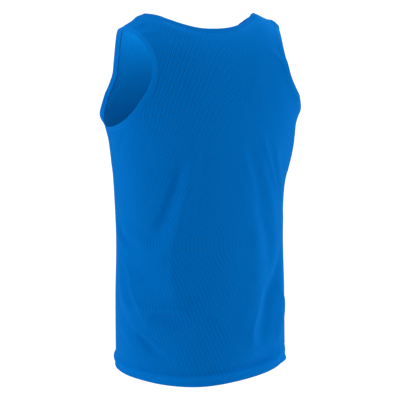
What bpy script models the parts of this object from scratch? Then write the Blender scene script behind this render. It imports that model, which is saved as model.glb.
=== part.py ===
"""Running singlet, hollow and filled out as if worn.

Metres, +Z up. The front faces -Y and the wearer's left side is at +X. The origin lies midway
between the two shoulder straps, at the height where they rest on the wearer.

The cloth is one smooth surface. A place on it has two coordinates:
  girth   0 at centre back, +1 at the wearer's left side seam, -1 at the right one, 2 at centre front
  height  the world z up to the shoulder blades, then the way along the arch over the shoulder
The panels are walls on that surface, and the bindings are rings made from the panels' own edges.
"""

import math
from collections import namedtuple

import bmesh
import bpy
import numpy as np

# ---- driving sizes ----
HEM_Z = -0.700
SHOULDER_Z = 0.014            # top of the shoulder seam beside the neck
BLADE_Z = -0.150              # widest level of the upper back, where the arch over the shoulder starts
SHOULDER_PITCH = 0.558        # fall of the shoulder seam for each metre outwards
SHOULDER_FALL_X = 0.096       # where that fall starts
SHOULDER_ROUND = 0.0234       # length over which it builds up
SHOULDER_PEAK = math.radians(78)   # 90 degrees would leave no crease along the shoulder seam

NECK_HALF_WIDTH = 0.126       # to the seam of the neck binding
STRAP_HALF_SPAN = 0.158       # to the armhole seam at the shoulder
NECK_Z = {"back": -0.0238, "front": -0.077}
NECK_ROUNDNESS = {"back": 1.95, "front": 1.0}

UNDERARM_Z = -0.208
CHEST_NARROW_X = {"back": 0.130, "front": 0.144}    # where each armhole reaches furthest in
CHEST_NARROW_Z = {"back": -0.070, "front": -0.098}
ARMHOLE_POWER = {"back": 1.93, "front": 1.74}       # 2 is an ellipse, less is straighter
STRAP_CURVE_LOW = 2.1         # how sharply the armhole leaves its narrowest place
STRAP_CURVE_TOP = 1.7         # how sharply it turns square to the shoulder seam

CLOTH = 0.0014                # wall of a panel
HEM_DEPTH = 0.021             # turned-up band
HEM_EXTRA = 0.0010            # its second layer, inside
HEM_STEP = 0.0015             # height over which that layer ends
BINDING_WIDTH = 0.010
BINDING_RAISE = 0.0004        # how much a binding stands proud of the panel on each face
BINDING_FOLD = 0.0008         # how far its folded edge bulges
# Radians that an armhole binding leans outwards, by hand: 1 is the wearer's left, -1 the right
BINDING_FLARE_UNDERARM = {1: 0.51, -1: 0.15}
BINDING_FLARE_SHOULDER = {1: (-0.28, -0.35), -1: (-0.25, -0.05)}    # back and front
BINDING_FLARE_CURVE = {1: (1.5, 4.5), -1: (1.5, 1.5)}    # how late it turns in along the strap
NECK_BINDING_FLARE = 0.05
NECK_BINDING_FLARE_SHOULDER = -0.35
NECK_BINDING_FLARE_CURVE = 4.0
SEAM_GAP = 0.0003
CREASE_ANGLE = math.radians(50)    # edges sharper than this are not smoothed over

QUARTER_GIRTH = 0.26          # turns the girth coordinate into metres, for the folds

# Columns and rows of the walls
NECK_COLUMNS = 7              # from centre to where the neckline turns up the strap
STRAP_COLUMNS = 4
ARMHOLE_COLUMNS = 10
BODY_ROWS = 32
STRAP_ROWS = 9
NECK_TURN = 0.62              # share of the neckline that the body block holds
NORMAL_STEP = 1e-4            # step over which the surface's slope is read
TINY = 1e-6
LEVEL_ROWS_SHARE = 0.60       # share of the rows that run level, up to LEVEL_ROWS_Z
LEVEL_ROWS_Z = -0.33

CLOTH_BLUE = (0.0, 0.120, 0.460, 1.0)
BINDING_BLUE = (0.0, 0.135, 0.500, 1.0)
CLOTH_ROUGHNESS = 0.75
BINDING_ROUGHNESS = 0.65

Section = namedtuple("Section", "z half_width back_depth front_depth squareness")
SECTIONS = (
    Section(HEM_Z, 0.182, 0.150, 0.146, 2.05),
    Section(-0.560, 0.180, 0.136, 0.142, 2.10),
    Section(-0.420, 0.176, 0.126, 0.136, 2.15),
    Section(-0.290, 0.183, 0.132, 0.130, 2.25),
    Section(-0.200, 0.197, 0.137, 0.124, 2.30),
    Section(BLADE_Z, 0.210, 0.135, 0.119, 2.35),
)

# Ridges (positive height) and troughs (negative), each along a path of (girth, z) places.
Fold = namedtuple("Fold", "name width height path")
FOLDS = (
    Fold("left blade trough", 0.0139, -0.0061,
         ((0.24, -0.227), (0.30, -0.270), (0.35, -0.312),
          (0.40, -0.348), (0.49, -0.383), (0.56, -0.411))),
    Fold("left blade ridge", 0.0132, 0.0069,
         ((0.24, -0.238), (0.26, -0.290), (0.33, -0.352),
          (0.36, -0.383), (0.42, -0.415), (0.54, -0.443))),
    Fold("spine trough", 0.0129, -0.0047, ((0.11, -0.187), (0.14, -0.237), (0.16, -0.297))),
    Fold("left loin swell", 0.016, 0.0043,
         ((0.38, -0.401), (0.46, -0.452), (0.43, -0.508), (0.40, -0.538))),
    Fold("left loin ridge", 0.0122, 0.0060,
         ((0.39, -0.406), (0.39, -0.453), (0.38, -0.498), (0.37, -0.536))),
    Fold("left hem ridge", 0.0126, 0.0032,
         ((1.00, -0.425), (0.89, -0.445), (0.82, -0.476), (0.77, -0.495),
          (0.75, -0.527), (0.63, -0.562), (0.58, -0.593))),
    Fold("left hem trough", 0.0141, -0.0019,
         ((0.90, -0.474), (0.87, -0.521), (0.80, -0.538), (0.73, -0.568), (0.67, -0.584))),
    Fold("left side ridge", 0.016, 0.0067,
         ((1.00, -0.441), (0.96, -0.484), (0.89, -0.534), (0.80, -0.558), (0.66, -0.587))),
    Fold("left loin hollow", 0.016, -0.0035,
         ((0.85, -0.462), (0.72, -0.478), (0.61, -0.497), (0.53, -0.540))),
    Fold("left waist trough", 0.0084, -0.0049,
         ((1.00, -0.380), (0.98, -0.408), (0.87, -0.425), (0.70, -0.430))),
    Fold("left rib trough", 0.0116, -0.0041,
         ((0.88, -0.376), (0.75, -0.388), (0.63, -0.398), (0.52, -0.407))),
    Fold("left rib hollow", 0.0085, -0.0016, ((0.83, -0.396), (0.67, -0.408), (0.56, -0.424))),
    Fold("left low trough", 0.0127, -0.0046,
         ((0.98, -0.584), (0.87, -0.581), (0.72, -0.601), (0.63, -0.619),
          (0.56, -0.631), (0.47, -0.648), (0.35, -0.657))),
    Fold("left corner ridge", 0.0095, 0.0017,
         ((1.00, -0.617), (0.88, -0.631), (0.74, -0.626), (0.67, -0.648))),
    Fold("loin shelf", 0.012, 0.0071,
         ((0.64, -0.559), (0.44, -0.549), (0.36, -0.549),
          (0.26, -0.562), (0.21, -0.577), (0.21, -0.609))),
    Fold("loin shelf hollow", 0.0141, -0.0034,
         ((0.58, -0.568), (0.50, -0.569), (0.36, -0.580), (0.24, -0.575), (0.21, -0.605))),
    Fold("right long ridge", 0.016, 0.0049,
         ((-0.05, -0.240), (-0.11, -0.282), (-0.17, -0.333), (-0.22, -0.379),
          (-0.24, -0.422), (-0.23, -0.485), (-0.28, -0.515))),
    Fold("right long hollow", 0.0158, -0.0056,
         ((-0.12, -0.250), (-0.16, -0.305), (-0.22, -0.356),
          (-0.28, -0.390), (-0.37, -0.436), (-0.37, -0.505))),
    Fold("right side ridge", 0.0126, 0.0035,
         ((-0.18, -0.217), (-0.22, -0.260), (-0.29, -0.307), (-0.37, -0.353), (-0.47, -0.403))),
    Fold("right outer ridge", 0.0112, 0.0039, ((-0.34, -0.236), (-0.40, -0.282), (-0.52, -0.339))),
    Fold("right gathered trough", 0.016, -0.0072,
         ((-0.63, -0.472), (-0.52, -0.490), (-0.45, -0.519), (-0.35, -0.549),
          (-0.31, -0.582), (-0.27, -0.617), (-0.25, -0.647))),
    Fold("right gathered ridge", 0.016, 0.0059,
         ((-0.43, -0.476), (-0.27, -0.493), (-0.22, -0.520), (-0.21, -0.546),
          (-0.14, -0.586), (-0.15, -0.624), (-0.17, -0.642))),
    Fold("right hem trough", 0.0157, -0.0072,
         ((-0.63, -0.654), (-0.42, -0.659), (-0.33, -0.666),
          (-0.20, -0.673), (-0.09, -0.676), (0.05, -0.663))),
    Fold("right hem ridge", 0.0159, 0.0053, ((-0.55, -0.519), (-0.50, -0.614), (-0.42, -0.639))),
    Fold("left underarm crease", 0.0114, -0.0018, ((0.84, -0.202), (0.93, -0.220), (0.97, -0.248))),
    Fold("right armhole swell", 0.021, 0.0056,
         ((-0.50, 0.040), (-0.47, -0.030), (-0.49, -0.095), (-0.64, -0.165), (-0.88, -0.200))),
    Fold("left neck swell", 0.012, 0.0020, ((0.08, -0.018), (0.20, 0.000), (0.31, 0.030))),
    Fold("right neck dip", 0.012, -0.0048,
         ((-0.12, 0.000), (-0.19, 0.022), (-0.26, 0.038), (-0.32, 0.048))),
    Fold("right rib swell", 0.028, 0.0046, ((-0.70, -0.205), (-0.73, -0.255), (-0.74, -0.312))),
    Fold("right waist hollow", 0.024, -0.0050, ((-0.73, -0.300), (-0.72, -0.355), (-0.71, -0.408))),
    Fold("left underarm hollow", 0.027, -0.0062, ((1.12, -0.205), (1.24, -0.240), (1.34, -0.282))),
    Fold("hem flare", 0.052, 0.0085, ((0.24, -0.540), (0.22, -0.690), (0.22, -0.840))),
    Fold("right hem corner", 0.02, 0.0065, ((-0.63, -0.690), (-0.62, -0.720), (-0.61, -0.750))),
    Fold("left hem tuck", 0.045, -0.0045, ((0.70, -0.640), (0.70, -0.700), (0.70, -0.760))),
    Fold("left shoulder swell", 0.01, 0.0032, ((0.385, 0.030), (0.385, 0.078), (0.385, 0.126))),
    Fold("left shoulder front", 0.01, 0.0032, ((1.615, 0.030), (1.615, 0.078), (1.615, 0.126))),
    Fold("right shoulder swell", 0.01, 0.0044, ((-0.50, 0.030), (-0.50, 0.078), (-0.50, 0.126))),
    Fold("right shoulder front", 0.01, 0.0044, ((-1.50, 0.030), (-1.50, 0.078), (-1.50, 0.126))),
    Fold("left chest ridge", 0.017, 0.0050, ((1.18, -0.215), (1.42, -0.320), (1.62, -0.440))),
    Fold("left chest trough", 0.018, -0.0040, ((1.12, -0.270), (1.32, -0.365), (1.52, -0.480))),
    Fold("right chest ridge", 0.017, 0.0052,
         ((-1.16, -0.220), (-1.38, -0.340), (-1.52, -0.470), (-1.56, -0.570))),
    Fold("left front hem ridge", 0.015, 0.0046, ((1.32, -0.470), (1.50, -0.560), (1.76, -0.645))),
    Fold("left front hem trough", 0.016, -0.0040, ((1.36, -0.540), (1.52, -0.612), (1.72, -0.662))),
    Fold("belly ridge", 0.02, 0.0034, ((1.92, -0.240), (1.86, -0.360), (1.80, -0.470))),
    Fold("low belly ridge", 0.018, 0.0038, ((2.16, -0.380), (2.22, -0.490), (2.12, -0.620))),
    Fold("breast ridge", 0.014, 0.0024, ((-1.50, -0.130), (-1.66, -0.205), (-1.76, -0.290))),
)
FOLD_STEPS = 14               # straight steps that a fold's path is read in
FOLD_END = 0.04               # share of a fold's length at which its fading stops
FOLD_FADE_POWER = 0.8         # below 1 keeps the height longer


def side_sign(side):
    return 1.0 if side == "back" else -1.0


def smooth_between(knots, values, at):
    """Cubic Hermite curve through the knots, read at every value of `at`."""
    knots, values = np.asarray(knots, float), np.asarray(values, float)
    slopes = np.gradient(values, knots)
    at = np.clip(at, knots[0], knots[-1])
    i = np.clip(np.searchsorted(knots, at, side="right") - 1, 0, len(knots) - 2)
    span = knots[i + 1] - knots[i]
    t = (at - knots[i]) / span
    start = values[i] * (1 + 2 * t) * (1 - t) ** 2 + slopes[i] * span * t * (1 - t) ** 2
    end = values[i + 1] * t * t * (3 - 2 * t) + slopes[i + 1] * span * t * t * (t - 1)
    return start + end


def section_at(side, z):
    """Half width, depth and squareness of the body's section at height z."""
    knots = [row.z for row in SECTIONS]
    depths = [row.back_depth if side == "back" else row.front_depth for row in SECTIONS]
    return (
        smooth_between(knots, [row.half_width for row in SECTIONS], z),
        smooth_between(knots, depths, z),
        smooth_between(knots, [row.squareness for row in SECTIONS], z),
    )


def shoulder_height(x):
    """Height of the shoulder ridge above x, which falls away outside the neck."""
    beyond = np.maximum(np.abs(x) - SHOULDER_FALL_X, 0)
    return SHOULDER_Z - SHOULDER_PITCH * (np.hypot(beyond, SHOULDER_ROUND) - SHOULDER_ROUND)


ARCH_RADIUS = (SHOULDER_Z - BLADE_Z) / math.sin(SHOULDER_PEAK)
TOP_HEIGHT = BLADE_Z + ARCH_RADIUS * SHOULDER_PEAK      # height coordinate of the shoulder seam


def height_at_z(z):
    """Height coordinate of a level z near the centre line."""
    if z < BLADE_Z:
        return z
    return BLADE_Z + ARCH_RADIUS * math.asin((z - BLADE_Z) / ARCH_RADIUS)


def girth_at_x(side, x, height):
    half_width, _, squareness = section_at(side, min(height, BLADE_Z))
    return 1 - math.acos((x / half_width) ** (squareness / 2)) / (math.pi / 2)


def smooth_form(side, girth, height):
    """Outer surface of the cloth without its folds; girth runs from -1 to 1 on each side."""
    girth, height = np.asarray(girth, float), np.asarray(height, float)
    level = np.minimum(height, BLADE_Z)
    arch = np.clip((height - BLADE_Z) / ARCH_RADIUS, 0, SHOULDER_PEAK)
    half_width, depth, squareness = section_at(side, level)
    turn = (1 - np.abs(girth)) * math.pi / 2
    x = np.sign(girth) * half_width * np.maximum(np.cos(turn), 0) ** (2 / squareness)
    closing = np.cos(arch) - math.cos(SHOULDER_PEAK) * arch / SHOULDER_PEAK
    y = side_sign(side) * depth * np.maximum(np.sin(turn), 0) ** (2 / squareness) * closing
    z = level + (shoulder_height(x) - BLADE_Z) * np.sin(arch) / math.sin(SHOULDER_PEAK)
    return np.stack([x, y, z], -1)


def on_seam(girth, height):
    """Which places lie on a side seam or a shoulder seam."""
    return (np.abs(girth) > 1 - TINY) | (height > TOP_HEIGHT - TINY)


def outward(side, girth, height):
    """Unit normals of the smooth form. On the seams they lean to neither panel."""
    step = NORMAL_STEP
    inside = np.clip(girth, -1 + 2 * step, 1 - 2 * step)
    below = np.minimum(height, TOP_HEIGHT - 2 * step)
    across = smooth_form(side, inside + step, below) - smooth_form(side, inside - step, below)
    along = smooth_form(side, inside, below + step) - smooth_form(side, inside, below - step)
    normal = -side_sign(side) * np.cross(across, along)
    normal[on_seam(girth, height), 1] = 0
    return normal / np.linalg.norm(normal, axis=-1, keepdims=True)


def fold_path(fold):
    """The fold's path in metres across the cloth, as a smooth curve through its places."""
    places = np.array(fold.path)
    knots = np.linspace(0, 1, len(places))
    at = np.linspace(0, 1, FOLD_STEPS + 1)
    return np.stack([
        smooth_between(knots, places[:, 0] * QUARTER_GIRTH, at),
        smooth_between(knots, places[:, 1], at),
    ], -1)


def fold_lift(side, girth, height):
    """How far the folds move the cloth outwards at each place."""
    round_girth = girth if side == "back" else np.where(girth < 0, -2 - girth, 2 - girth)
    lift = np.zeros_like(girth)
    for fold in FOLDS:
        path = fold_path(fold)
        start, run = path[:-1], np.diff(path, axis=0)
        for turn in (-4, 0, 4):
            place = np.stack([(round_girth + turn) * QUARTER_GIRTH, height], -1)
            offset = place[:, None] - start[None]
            share = np.clip((offset * run).sum(-1) / (run ** 2).sum(-1), 0, 1)
            distance = np.linalg.norm(offset - share[..., None] * run, axis=-1)
            nearest = distance.argmin(1)
            rows = np.arange(len(place))
            along = (nearest + share[rows, nearest]) / FOLD_STEPS
            fade = np.sin(math.pi * np.clip(along, FOLD_END, 1 - FOLD_END)) ** FOLD_FADE_POWER
            lift += fold.height * fade * np.exp(-(distance[rows, nearest] / fold.width) ** 2)
    return lift


def cloth_points(side, girth, height):
    """Outer points of a panel with its folds, and their normals."""
    normal = outward(side, girth, height)
    point = smooth_form(side, girth, height) + fold_lift(side, girth, height)[:, None] * normal
    point[on_seam(girth, height), 1] += side_sign(side) * SEAM_GAP / 2
    return point, normal


def neck_edge(side, t):
    """Neckline from centre (t = 0) to the shoulder seam (t = 1), as (girth, height)."""
    lowest = height_at_z(NECK_Z[side])
    widest = girth_at_x(side, NECK_HALF_WIDTH, TOP_HEIGHT)
    turn = t * math.pi / 2
    rise = 1 - np.cos(turn) ** NECK_ROUNDNESS[side]
    return np.stack([widest * np.sin(turn), lowest + (TOP_HEIGHT - lowest) * rise], -1)


def lower_armhole(side, t):
    """Armhole from the underarm (t = 0) to its narrowest place (t = 1)."""
    narrow_height = height_at_z(CHEST_NARROW_Z[side])
    narrow_girth = girth_at_x(side, CHEST_NARROW_X[side], narrow_height)
    turn, power = t * math.pi / 2, 2 / ARMHOLE_POWER[side]
    girth = 1 - (1 - narrow_girth) * np.sin(turn) ** power
    height = narrow_height + (UNDERARM_Z - narrow_height) * np.maximum(np.cos(turn), 0) ** power
    return np.stack([girth, height], -1)


def upper_armhole(side, t):
    """Armhole from its narrowest place (t = 0) to the shoulder seam (t = 1)."""
    girth, height = lower_armhole(side, np.array([1.0]))[0]
    tip = girth_at_x(side, STRAP_HALF_SPAN, TOP_HEIGHT)
    spread = 1 - (1 - t ** STRAP_CURVE_LOW) ** STRAP_CURVE_TOP
    return np.stack([girth + (tip - girth) * spread, height + (TOP_HEIGHT - height) * t], -1)


def body_rows():
    """Share of the body's height at each row: the hem band first, then even rows."""
    band = HEM_DEPTH / (LEVEL_ROWS_Z - HEM_Z) * LEVEL_ROWS_SHARE
    step = HEM_STEP / (LEVEL_ROWS_Z - HEM_Z) * LEVEL_ROWS_SHARE
    return np.concatenate([[0, band], np.linspace(band + step, 1, BODY_ROWS - 1)])


def half_panel(side):
    """(girth, height) grids of the body block and the strap block, for girth >= 0."""
    neck = neck_edge(side, np.linspace(0, NECK_TURN, NECK_COLUMNS + 1))
    armhole = lower_armhole(side, np.linspace(1, 0, ARMHOLE_COLUMNS + 1))
    across = np.linspace(0, 1, STRAP_COLUMNS + 1)[:, None]
    strap_foot = neck[-1] * (1 - across) + armhole[0] * across
    top = np.concatenate([neck, strap_foot[1:], armhole[1:]])
    share = body_rows()
    level = np.minimum(share / LEVEL_ROWS_SHARE, 1)
    climb = np.maximum((share - LEVEL_ROWS_SHARE) / (1 - LEVEL_ROWS_SHARE), 0)
    girth = np.linspace(0, 1, len(top))[:, None] * (1 - share ** 2) + top[:, :1] * share ** 2
    height = HEM_Z + (LEVEL_ROWS_Z - HEM_Z) * level + (top[:, 1:] - LEVEL_ROWS_Z) * climb
    inner = neck_edge(side, np.linspace(NECK_TURN, 1, STRAP_ROWS + 1))
    outer = upper_armhole(side, np.linspace(0, 1, STRAP_ROWS + 1))
    strap = inner[None] * (1 - across[:, :, None]) + outer[None] * across[:, :, None]
    return np.stack([girth, height], -1), strap


def panel_sheet(side):
    """The panel's places, its four-sided faces, and the index of each place by block."""
    body, strap = half_panel(side)
    columns, rows = body.shape[0] - 1, body.shape[1] - 1
    places, index = [], {}

    def place(key, girth, height):
        index[key] = len(places)
        places.append((girth, height))

    for column in range(-columns, columns + 1):
        for row in range(rows + 1):
            girth, height = body[abs(column), row]
            place(("body", column, row), math.copysign(girth, column) if column else 0.0, height)
    for hand in (-1, 1):
        for column in range(STRAP_COLUMNS + 1):
            foot = hand * (NECK_COLUMNS + column)
            index["strap", hand, column, 0] = index["body", foot, rows]
            for row in range(1, STRAP_ROWS + 1):
                girth, height = strap[column, row]
                place(("strap", hand, column, row), hand * girth, height)

    faces = []
    for column in range(-columns, columns):
        for row in range(rows):
            corners = ((column, row), (column + 1, row), (column + 1, row + 1), (column, row + 1))
            faces.append([index["body", c, r] for c, r in corners])
    for hand in (-1, 1):
        for column in range(STRAP_COLUMNS):
            for row in range(STRAP_ROWS):
                corners = ((column, row), (column + 1, row), (column + 1, row + 1), (column, row + 1))
                face = [index["strap", hand, c, r] for c, r in corners]
                faces.append(face if hand > 0 else face[::-1])
    if side == "back":
        faces = [face[::-1] for face in faces]
    return np.array(places), faces, index


def cut_faces(points, faces):
    """Each four-sided face cut along its shorter diagonal."""
    cut = []
    for a, b, c, d in faces:
        if math.dist(points[a], points[c]) <= math.dist(points[b], points[d]):
            cut += [[a, b, c], [a, c, d]]
        else:
            cut += [[a, b, d], [b, c, d]]
    return cut


def new_object(name, points, faces, material):
    mesh = bpy.data.meshes.new(name)
    bm = bmesh.new()
    verts = [bm.verts.new(point) for point in points]
    for face in faces:
        bm.faces.new([verts[i] for i in face])
    bm.to_mesh(mesh)
    bm.free()
    mesh.shade_smooth()
    mesh.set_sharp_from_angle(angle=CREASE_ANGLE)
    mesh.materials.append(material)
    obj = bpy.data.objects.new(name, mesh)
    bpy.context.scene.collection.objects.link(obj)
    return obj


def walled(points, normals, faces, depth):
    """Close a sheet into a wall: outer faces, inner faces `depth` below them, and the rim."""
    count = len(points)
    inner = points - normals * depth[:, None]
    faces = cut_faces(points, faces)
    edges = [pair for face in faces for pair in zip(face, face[1:] + face[:1])]
    shared = set(edges)
    rim = [[b, a, a + count, b + count] for a, b in edges if (b, a) not in shared]
    under = [[i + count for i in reversed(face)] for face in faces]
    solid = np.concatenate([points, inner])
    return solid, faces + under + cut_faces(solid, rim)


def build_panel(side):
    places, faces, index = panel_sheet(side)
    points, normals = cloth_points(side, places[:, 0], places[:, 1])
    in_hem = places[:, 1] < HEM_Z + HEM_DEPTH + TINY
    depth = np.where(in_hem, CLOTH + HEM_EXTRA, CLOTH)
    solid_points, solid_faces = walled(points, normals, faces, depth)
    material = cloth_material(side + "_panel", CLOTH_BLUE, CLOTH_ROUGHNESS)
    new_object(side + "_panel", solid_points, solid_faces, material)
    return points, normals, index


def armhole_run(index, hand):
    """Indices along one panel's armhole, from the underarm to the shoulder seam."""
    last = NECK_COLUMNS + STRAP_COLUMNS + ARMHOLE_COLUMNS
    foot = NECK_COLUMNS + STRAP_COLUMNS
    low = [index["body", hand * column, BODY_ROWS] for column in range(last, foot, -1)]
    return low + [index["strap", hand, STRAP_COLUMNS, row] for row in range(STRAP_ROWS + 1)]


def neck_run(index, hand):
    """Indices along one panel's neckline, from centre to the shoulder seam."""
    low = [index["body", hand * column, BODY_ROWS] for column in range(NECK_COLUMNS)]
    return low + [index["strap", hand, 0, row] for row in range(STRAP_ROWS + 1)]


def joined_loop(first, second):
    """Two runs that meet at both ends, as one closed loop: the ends that meet are averaged."""
    meet_start = (first[0] + second[0]) / 2
    meet_end = (first[-1] + second[-1]) / 2
    return np.concatenate([[meet_start], first[1:-1], [meet_end], second[-2:0:-1]])


def build_binding(name, edge, normals, flare, panel_way, material):
    """A ring along a closed edge: a folded strip that starts a seam's gap away from the panels.

    `panel_way` points from the first place of the edge towards the panels.
    """
    normals = normals / np.linalg.norm(normals, axis=-1, keepdims=True)
    along = np.roll(edge, -1, axis=0) - np.roll(edge, 1, axis=0)
    across = np.cross(along, normals)
    across /= np.linalg.norm(across, axis=-1, keepdims=True)
    if across[0] @ panel_way > 0:
        across = -across
    lean = flare[:, None]
    out = np.cos(lean) * across + np.sin(lean) * normals
    face = np.cos(lean) * normals - np.sin(lean) * across
    start = edge + SEAM_GAP * across
    middle = start - normals * CLOTH / 2
    half = CLOTH / 2 + BINDING_RAISE
    ring = [
        middle + half * normals,
        middle + half * face + BINDING_WIDTH / 2 * out,
        middle + half * face + BINDING_WIDTH * out,
        middle + (BINDING_WIDTH + BINDING_FOLD) * out,
        middle - half * face + BINDING_WIDTH * out,
        middle - half * face + BINDING_WIDTH / 2 * out,
        middle - half * normals,
    ]
    points = np.stack(ring, 1).reshape(-1, 3)
    steps, sides = len(edge), len(ring)
    faces = []
    for i in range(steps):
        for j in range(sides):
            a, b = i * sides + j, i * sides + (j + 1) % sides
            c, d = (i + 1) % steps * sides + (j + 1) % sides, (i + 1) % steps * sides + j
            faces.append([a, b, c, d])
    first = points[faces[0]]
    facing = np.cross(first[1] - first[0], first[3] - first[0])
    if facing @ normals[0] < 0:
        faces = [face[::-1] for face in faces]
    new_object(name, points, cut_faces(points, faces), material)


def armhole_flare(hand):
    """The armhole binding leans outwards under the arm and less, or inwards, over the shoulder."""
    upper = np.linspace(0, 1, STRAP_ROWS + 1)
    start, runs = BINDING_FLARE_UNDERARM[hand], []
    for end, curve in zip(BINDING_FLARE_SHOULDER[hand], BINDING_FLARE_CURVE[hand]):
        share = np.concatenate([np.zeros(ARMHOLE_COLUMNS), upper ** curve])[:, None]
        runs.append(start + (end - start) * share)
    return joined_loop(*runs)[:, 0]


def neck_flare():
    """The neck binding stands up at the centre and leans inwards beside the shoulders."""
    share = np.linspace(0, 1, NECK_COLUMNS + STRAP_ROWS + 1) ** NECK_BINDING_FLARE_CURVE
    run = NECK_BINDING_FLARE + (NECK_BINDING_FLARE_SHOULDER - NECK_BINDING_FLARE) * share[:, None]
    side = np.concatenate([run[::-1], run[1:]])
    return joined_loop(side, side)[:, 0]


def cloth_material(name, colour, roughness):
    material = bpy.data.materials.new(name)
    material.use_nodes = True
    shader = material.node_tree.nodes["Principled BSDF"]
    shader.inputs["Base Color"].default_value = colour
    shader.inputs["Roughness"].default_value = roughness
    shader.inputs["Metallic"].default_value = 0.0
    return material


def build_singlet():
    back_points, back_normals, index = build_panel("back")
    front_points, front_normals, _ = build_panel("front")

    for hand, name in ((1, "left_armhole_binding"), (-1, "right_armhole_binding")):
        run = armhole_run(index, hand)
        edge = joined_loop(back_points[run], front_points[run])
        normals = joined_loop(back_normals[run], front_normals[run])
        armpit_down = np.array([0.0, 0.0, -1.0])
        material = cloth_material(name, BINDING_BLUE, BINDING_ROUGHNESS)
        build_binding(name, edge, normals, armhole_flare(hand), armpit_down, material)

    left, right = neck_run(index, 1), neck_run(index, -1)
    back_edge = np.concatenate([back_points[right[::-1]], back_points[left[1:]]])
    front_edge = np.concatenate([front_points[right[::-1]], front_points[left[1:]]])
    back_facing = np.concatenate([back_normals[right[::-1]], back_normals[left[1:]]])
    front_facing = np.concatenate([front_normals[right[::-1]], front_normals[left[1:]]])
    edge = joined_loop(back_edge, front_edge)
    normals = joined_loop(back_facing, front_facing)
    away_from_neck = np.array([math.copysign(1.0, edge[0, 0]), 0.0, 0.0])
    material = cloth_material("neck_binding", BINDING_BLUE, BINDING_ROUGHNESS)
    build_binding("neck_binding", edge, normals, neck_flare(), away_from_neck, material)


for old in list(bpy.data.objects):
    bpy.data.objects.remove(old, do_unlink=True)
build_singlet()
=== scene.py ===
import math

import bmesh
import bpy
import numpy as np
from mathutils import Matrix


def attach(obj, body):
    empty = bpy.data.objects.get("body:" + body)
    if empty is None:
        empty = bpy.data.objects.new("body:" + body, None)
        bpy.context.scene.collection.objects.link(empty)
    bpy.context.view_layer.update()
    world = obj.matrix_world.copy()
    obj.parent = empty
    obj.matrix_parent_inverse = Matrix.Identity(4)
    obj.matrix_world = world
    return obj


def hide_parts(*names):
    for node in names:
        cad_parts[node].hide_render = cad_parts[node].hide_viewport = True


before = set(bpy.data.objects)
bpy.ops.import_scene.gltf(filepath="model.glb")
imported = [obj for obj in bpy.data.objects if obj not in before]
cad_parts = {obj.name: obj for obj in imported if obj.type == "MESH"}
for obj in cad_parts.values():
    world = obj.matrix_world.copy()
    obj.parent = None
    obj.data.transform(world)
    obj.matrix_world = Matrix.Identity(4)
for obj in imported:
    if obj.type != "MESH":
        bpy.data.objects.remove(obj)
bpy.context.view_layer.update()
print("frame loaded")

# The cloth is one smooth surface, and a place on it is a girth and a height.
# girth: 0 centre back, +1 the wearer's left side seam, -1 the right one, 2 centre front.
# height: world z up to the shoulder blades, then the way along the arch over the shoulder.
# Metres, +Z up, front at -Y, the wearer's left at +X.

body = {
    "hemZ": -0.700,
    "shoulderZ": 0.014,
    "bladeZ": -0.150,
    "shoulderPitch": 0.558,
    "shoulderFallX": 0.096,
    "shoulderRound": 0.0234,
    "shoulderPeak": math.radians(78),
    "quarterGirth": 0.26,
    # z, half width, back depth, front depth, squareness
    "sections": [
        (-0.700, 0.182, 0.150, 0.146, 2.05),
        (-0.560, 0.180, 0.136, 0.142, 2.10),
        (-0.420, 0.176, 0.126, 0.136, 2.15),
        (-0.290, 0.183, 0.132, 0.130, 2.25),
        (-0.200, 0.197, 0.137, 0.124, 2.30),
        (-0.150, 0.210, 0.135, 0.119, 2.35),
    ],
}
archRadius = (body["shoulderZ"] - body["bladeZ"]) / math.sin(body["shoulderPeak"])
topHeight = body["bladeZ"] + archRadius * body["shoulderPeak"]


def smoothBetween(knots, values, at):
    # cubic Hermite curve through the knots
    knots, values = np.asarray(knots, float), np.asarray(values, float)
    slopes = np.gradient(values, knots)
    at = np.clip(at, knots[0], knots[-1])
    i = np.clip(np.searchsorted(knots, at, side="right") - 1, 0, len(knots) - 2)
    span = knots[i + 1] - knots[i]
    t = (at - knots[i]) / span
    start = values[i] * (1 + 2 * t) * (1 - t) ** 2 + slopes[i] * span * t * (1 - t) ** 2
    end = values[i + 1] * t * t * (3 - 2 * t) + slopes[i + 1] * span * t * t * (t - 1)
    return start + end


def sectionAt(side, z):
    rows = np.array(body["sections"])
    depth = rows[:, 2] if side == "back" else rows[:, 3]
    return [smoothBetween(rows[:, 0], values, z) for values in (rows[:, 1], depth, rows[:, 4])]


def shoulderHeight(x):
    beyond = np.maximum(np.abs(x) - body["shoulderFallX"], 0)
    soft = body["shoulderRound"]
    return body["shoulderZ"] - body["shoulderPitch"] * (np.hypot(beyond, soft) - soft)


def heightAtZ(z):
    if z < body["bladeZ"]:
        return z
    return body["bladeZ"] + archRadius * math.asin((z - body["bladeZ"]) / archRadius)


def girthAtX(side, x, height):
    halfWidth, _, squareness = sectionAt(side, min(height, body["bladeZ"]))
    return 1 - math.acos((x / halfWidth) ** (squareness / 2)) / (math.pi / 2)


def smoothForm(side, girth, height):
    way = 1 if side == "back" else -1
    level = np.minimum(height, body["bladeZ"])
    arch = np.clip((height - body["bladeZ"]) / archRadius, 0, body["shoulderPeak"])
    halfWidth, depth, squareness = sectionAt(side, level)
    turn = (1 - np.abs(girth)) * math.pi / 2
    x = np.sign(girth) * halfWidth * np.maximum(np.cos(turn), 0) ** (2 / squareness)
    closing = np.cos(arch) - math.cos(body["shoulderPeak"]) * arch / body["shoulderPeak"]
    y = way * depth * np.maximum(np.sin(turn), 0) ** (2 / squareness) * closing
    z = level + (shoulderHeight(x) - body["bladeZ"]) * np.sin(arch) / math.sin(body["shoulderPeak"])
    return np.stack([x, y, z], -1)


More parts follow.
